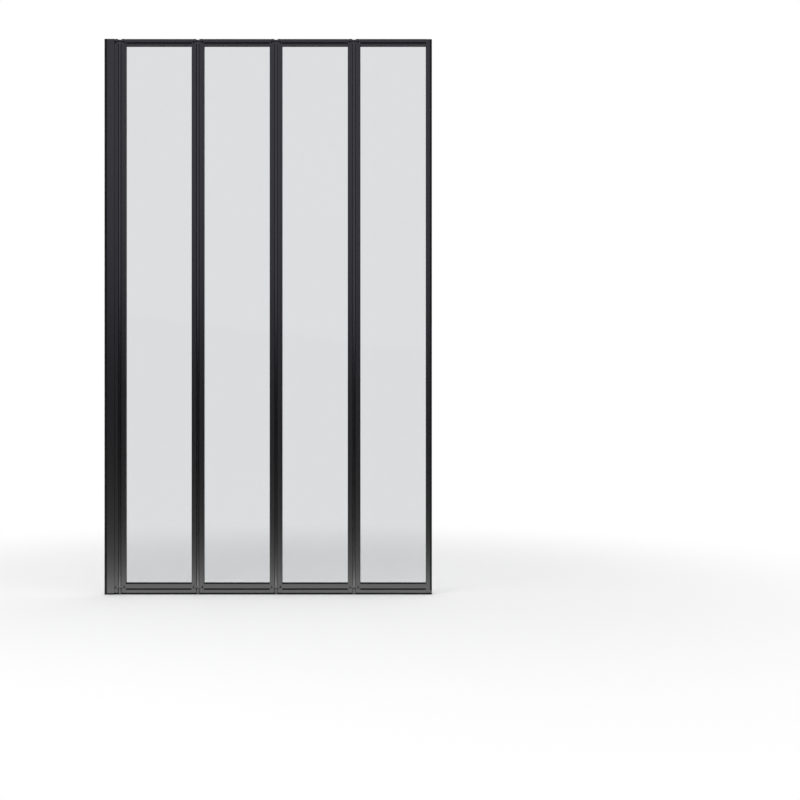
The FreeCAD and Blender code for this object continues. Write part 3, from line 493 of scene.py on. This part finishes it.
for leaf, axis in zip(LEAVES, left_axes):
    pad_mesh = bmesh.new()
    middle = (pivots[f"link_{leaf}"] + axis) / 2
    turned = [(-along, -across) for along, across in FOOT_SECTION]
    section = [(middle + along, across) for along, across in (*FOOT_SECTION, *turned)]
    extrude_upright(pad_mesh, section, *FOOT_HEIGHTS)
    keep_piece(f"hinge_{leaf}_foot", pad_mesh, black_rubber, f"link_{leaf}", RUBBER_CREASE)

# Edge bumper: a hollow D-section of black rubber along the last stile, so that it meets nothing hard.
# Two thin lips lap the stile's rounded corners, and an arrow-headed stem is pushed into its slot.
BUMPER_BACK = 0.0054
BUMPER_HALF = 0.0052
BUMPER_ROUND = 0.0026
BUMPER_SEGMENTS = 6
BUMPER_WALL = 0.0009
BUMPER_HEIGHTS = (0.0086, 1.3990)
BUMPER_LIP = ((0.0054, 0.0052), (0.0060, 0.0052), (0.0058, 0.0060), (0.0049, 0.0067), (0.0038, 0.0067),
              (0.0036, 0.0065), (0.0038, 0.0064), (0.0044, 0.0064), (0.0051, 0.0061), (0.0055, 0.0056))
LIP_HEIGHTS = (0.0110, 1.3984)
BUMPER_STEM = ((0.0056, 0.0010), (0.0040, 0.0010), (0.0040, 0.0020), (0.0028, 0.0010))
STEM_HEIGHTS = (0.0404, 1.3686)
BUMPER_CREASE = 0.6

free_axis = left_axes[-1] + leaf_axis_width
bumper_mesh = bmesh.new()
low, high = BUMPER_HEIGHTS
outline = [(BUMPER_BACK, -BUMPER_HALF), (FREE_EDGE_REACH, -BUMPER_HALF), (FREE_EDGE_REACH, BUMPER_HALF),
           (BUMPER_BACK, BUMPER_HALF)]
corners = [bumper_mesh.verts.new((free_axis + out, across, low)) for out, across in outline]
bumper_mesh.faces.new(corners)
bmesh.ops.bevel(bumper_mesh, geom=corners[1:3], offset=BUMPER_ROUND, offset_type="OFFSET",
                segments=BUMPER_SEGMENTS, profile=0.5, affect="VERTICES", material=-1)
hollow = bumper_mesh.faces[:]
wall = bmesh.ops.inset_region(bumper_mesh, faces=hollow, thickness=BUMPER_WALL, use_boundary=True,
                              use_even_offset=True)["faces"]
bmesh.ops.delete(bumper_mesh, geom=hollow, context="FACES_ONLY")
extrude_faces(bumper_mesh, wall, (0, 0, high - low))
stem = [(free_axis + out, across) for out, across in whole_section(BUMPER_STEM)]
extrude_upright(bumper_mesh, stem, *STEM_HEIGHTS)
for side in (-1, 1):
    lip = [(free_axis + out, side * across) for out, across in BUMPER_LIP]
    extrude_upright(bumper_mesh, lip, *LIP_HEIGHTS)
edge_bumper = keep_piece("edge_bumper", bumper_mesh, black_rubber, "panel_4", BUMPER_CREASE)
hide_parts("panel_4_edge_bumper")

# Wall gasket: soft black rubber bonded in the step along the channel's back, and round its foot.
# It seals the channel behind and below, and its dark line along both is also painted shade, for the shade
# against the wall and under the foot.
GASKET_HEIGHTS = (0.0, 1.3990)
GASKET_SECTION = ((0.0000, 0.0071), (0.0000, 0.0079), (0.0012, 0.0080), (0.0026, 0.0082),
                  (0.0040, 0.0084), (0.0052, 0.0084), (0.0062, 0.0081), (0.0040, 0.0081), (0.0040, 0.0071))
SKIRT_SPAN = (0.0040, 0.0248)
SKIRT_SECTION = ((0.0081, 0.0000), (0.0086, 0.0000), (0.0086, 0.0022), (0.0084, 0.0030), (0.0081, 0.0034))
GASKET_CREASE = 0.6

# The gasket's dark lines are partly painted shade.
gasket_shade_mesh = bmesh.new()
for side in (-1, 1):
    gasket = [(along, side * across) for along, across in GASKET_SECTION]
    extrude_upright(gasket_shade_mesh, gasket, *GASKET_HEIGHTS)
    skirt = [(side * across, height) for across, height in SKIRT_SECTION]
    extrude_level(gasket_shade_mesh, skirt, *SKIRT_SPAN)
keep_piece("wall_gasket", gasket_shade_mesh, black_rubber, "wall_rail", GASKET_CREASE)

# Floor: a plain sweep of pale paper under the screen, which takes its soft shadow.
# Away from the screen it runs out to white, for the camera and for metal and glass alike.
FLOOR_HALF = 9.0
FLOOR_DROP = -0.0006
FLOOR_PALE = (0.86, 0.86, 0.86, 1)
FLOOR_WHITE = (1, 1, 1, 1)
SET_MIDDLE = 0.41
FLOOR_FADE = (0.6, 1.9)


def stand_stage(name, mesh):
    """Turn a mesh into a part of the set, which isn't part of the screen."""
    data = bpy.data.meshes.new(name)
    mesh.to_mesh(data)
    mesh.free()
    part = bpy.data.objects.new(name, data)
    bpy.context.scene.collection.objects.link(part)
    return part


def seen_rays(tree):
    """One for rays that show a surface to the camera, directly or in metal and glass."""
    rays = add_node(tree, "ShaderNodeLightPath").outputs
    direct = add_node(tree, "ShaderNodeMath", {0: rays["Is Camera Ray"], 1: rays["Is Glossy Ray"]},
                      operation="MAXIMUM")
    both = add_node(tree, "ShaderNodeMath", {0: direct.outputs[0], 1: rays["Is Transmission Ray"]},
                    operation="MAXIMUM")
    return both.outputs[0]


floor_mesh = bmesh.new()
bmesh.ops.create_grid(floor_mesh, x_segments=2, y_segments=2, size=FLOOR_HALF)
bmesh.ops.translate(floor_mesh, verts=floor_mesh.verts[:], vec=(0, 0, FLOOR_DROP))
floor = stand_stage("studio_floor", floor_mesh)

floor_finish, tree, place, output = new_finish("pale_floor")
centred = add_node(tree, "ShaderNodeMapping", {"Vector": place, "Location": (-SET_MIDDLE, 0, 0)})
reach = add_node(tree, "ShaderNodeVectorMath", {0: centred.outputs["Vector"]}, operation="LENGTH")
fade = add_node(tree, "ShaderNodeMapRange", {"Value": reach.outputs["Value"], "From Min": FLOOR_FADE[0],
                                             "From Max": FLOOR_FADE[1]}, interpolation_type="SMOOTHSTEP")
share = add_node(tree, "ShaderNodeMath", {0: fade.outputs["Result"], 1: seen_rays(tree)},
                 operation="MULTIPLY")
paper = add_node(tree, "ShaderNodeBsdfDiffuse", {"Color": FLOOR_PALE})
white = add_node(tree, "ShaderNodeEmission", {"Color": FLOOR_WHITE, "Strength": 1.0})
joined = add_node(tree, "ShaderNodeMixShader", {0: share.outputs[0], 1: paper.outputs[0],
                                                2: white.outputs[0]})
tree.links.new(joined.outputs[0], output.inputs["Surface"])
floor.data.materials.append(floor_finish)

# Studio drape: a cool grey glowing sheet round the set, a painted reflection seen only in metal and glass,
# dark below a slanting edge.
# It lies over the floor up to the set, and gives the black frame and the panes something to reflect.
# On the floor it is brightest close to the screen, as a painted pool of light, and past its fold it darkens
# upwards.
DRAPE_SIDES = 96
DRAPE_FOOT = (0.50, 0.02)
DRAPE_LIFT = 0.0005
DRAPE_RISE = 0.002
DRAPE_RADIUS = 2.1
DRAPE_HEIGHT = 4.5
DRAPE_SLANT = 0.117
DRAPE_EDGE = 0.796
DRAPE_SOFTNESS = 0.01
# The glow above the edge, in grey with a cool tint, is painted reflection.
DRAPE_GREY = 0.315
DRAPE_COOL = (0.975, 0.940, 1.140, 1)
DRAPE_STRETCH = 0.25
# The next three give the painted pool of light on the floor near the screen.
DRAPE_FALL = 0.27
DRAPE_STEEPNESS = 1.3
DRAPE_MOST = 1.50
DRAPE_FOLD = 0.35
DRAPE_DARK = 0.12

drape_mesh = bmesh.new()
ring = bmesh.ops.create_circle(drape_mesh, cap_ends=False, segments=DRAPE_SIDES, radius=1.0)["verts"]
bmesh.ops.scale(drape_mesh, verts=ring, vec=(*DRAPE_FOOT, 1))
bmesh.ops.translate(drape_mesh, verts=ring, vec=(0, 0, DRAPE_LIFT))
for wider, deeper, lift in ((DRAPE_RADIUS / DRAPE_FOOT[0], DRAPE_RADIUS / DRAPE_FOOT[1], DRAPE_RISE),
                            (1.0, 1.0, DRAPE_HEIGHT)):
    hem = [edge for edge in drape_mesh.edges if edge.verts[0] in ring and edge.verts[1] in ring]
    grown = bmesh.ops.extrude_edge_only(drape_mesh, edges=hem)["geom"]
    ring = [item for item in grown if isinstance(item, bmesh.types.BMVert)]
    bmesh.ops.scale(drape_mesh, verts=ring, vec=(wider, deeper, 1))
    bmesh.ops.translate(drape_mesh, verts=ring, vec=(0, 0, lift))
bmesh.ops.translate(drape_mesh, verts=drape_mesh.verts[:], vec=(SET_MIDDLE, 0, 0))
drape = stand_stage("studio_drape", drape_mesh)
drape.visible_camera = False
drape.visible_diffuse = False
drape.visible_transmission = False
drape.visible_shadow = False

drape_finish, tree, place, output = new_finish("grey_drape")
parts = add_node(tree, "ShaderNodeSeparateXYZ", {0: place})
lean = add_node(tree, "ShaderNodeMath", {0: parts.outputs["X"], 1: DRAPE_SLANT, 2: parts.outputs["Z"]},
                operation="MULTIPLY_ADD")
upper = add_node(tree, "ShaderNodeMapRange", {"Value": lean.outputs[0],
                                              "From Min": DRAPE_EDGE - DRAPE_SOFTNESS,
                                              "From Max": DRAPE_EDGE + DRAPE_SOFTNESS})
grey = add_node(tree, "ShaderNodeMath", {0: upper.outputs["Result"], 1: DRAPE_GREY}, operation="MULTIPLY")
shade = add_node(tree, "ShaderNodeMix", {0: upper.outputs["Result"], "A": FLOOR_WHITE, "B": DRAPE_COOL},
                 data_type="RGBA")
centred = add_node(tree, "ShaderNodeMapping", {"Vector": place, "Scale": (DRAPE_STRETCH, 1, 0),
                                               "Location": (-DRAPE_STRETCH * SET_MIDDLE, 0, 0)})
reach = add_node(tree, "ShaderNodeVectorMath", {0: centred.outputs["Vector"]}, operation="LENGTH")
fall = add_node(tree, "ShaderNodeMath", {0: DRAPE_FALL, 1: reach.outputs["Value"]}, operation="DIVIDE")
steep = add_node(tree, "ShaderNodeMath", {0: fall.outputs[0], 1: DRAPE_STEEPNESS}, operation="POWER")
laid = add_node(tree, "ShaderNodeMath", {0: steep.outputs[0], 1: DRAPE_MOST}, operation="MINIMUM")
fold = add_node(tree, "ShaderNodeMapRange", {"Value": parts.outputs["Z"], "From Max": DRAPE_FOLD,
                                             "To Min": 1.0, "To Max": DRAPE_DARK})
lower = add_node(tree, "ShaderNodeMath", {0: laid.outputs[0], 1: fold.outputs["Result"]},
                 operation="MULTIPLY")
level = add_node(tree, "ShaderNodeMath", {0: grey.outputs[0], 1: lower.outputs[0]}, operation="MAXIMUM")
# The sheet glows with painted reflection and a painted pool of light; it is no lamp.
painted_glow = add_node(tree, "ShaderNodeEmission", {"Color": shade.outputs["Result"],
                                              "Strength": level.outputs[0]})
tree.links.new(painted_glow.outputs[0], output.inputs["Surface"])
drape.data.materials.append(drape_finish)

# Light: an even white surround, and one large soft lamp above the front.
# The lamp draws the shadow on the floor, and stays out of the reflections.
SURROUND = 0.80
SURROUND_WHITE = (1, 1, 1, 1)
LAMP_PLACE = (-0.6, -2.4, 3.4)
LAMP_AIM = (SET_MIDDLE, 0.0, 0.5)
LAMP_SIZE = 2.6
LAMP_POWER = 70.0

world = bpy.data.worlds.new("white_studio")
bpy.context.scene.world = world
world.use_nodes = True
tree = world.node_tree
tree.nodes.clear()
glow = add_node(tree, "ShaderNodeMapRange", {"Value": seen_rays(tree), "To Min": SURROUND, "To Max": 1.0})
sky = add_node(tree, "ShaderNodeBackground", {"Color": SURROUND_WHITE, "Strength": glow.outputs["Result"]})
sky_output = add_node(tree, "ShaderNodeOutputWorld")
tree.links.new(sky.outputs[0], sky_output.inputs["Surface"])

lamp_data = bpy.data.lights.new("soft_lamp", "AREA")
lamp_data.shape = "SQUARE"
lamp_data.size = LAMP_SIZE
lamp_data.energy = LAMP_POWER
lamp = bpy.data.objects.new("soft_lamp", lamp_data)
bpy.context.scene.collection.objects.link(lamp)
lamp.location = LAMP_PLACE
lamp.visible_glossy = False
lamp.rotation_euler = (Vector(LAMP_AIM) - Vector(LAMP_PLACE)).to_track_quat("-Z", "Y").to_euler()

# Camera: level and square to the screen, a little right of its middle and low, as in the photograph.
# Its place and lens put the screen's edges where the photograph has them.
CAMERA_PLACE = (0.744, -3.150, 0.4897)
CAMERA_TILT = (pi / 2, 0, 0)
CAMERA_LENS = 56.16
CAMERA_SENSOR = 36.0

camera_data = bpy.data.cameras.new("photo_camera")
camera_data.sensor_width = CAMERA_SENSOR
camera_data.lens = CAMERA_LENS
camera = bpy.data.objects.new("photo_camera", camera_data)
bpy.context.scene.collection.objects.link(camera)
camera.location = CAMERA_PLACE
camera.rotation_euler = CAMERA_TILT
bpy.context.scene.camera = camera
bpy.context.scene.view_settings.view_transform = "Standard"
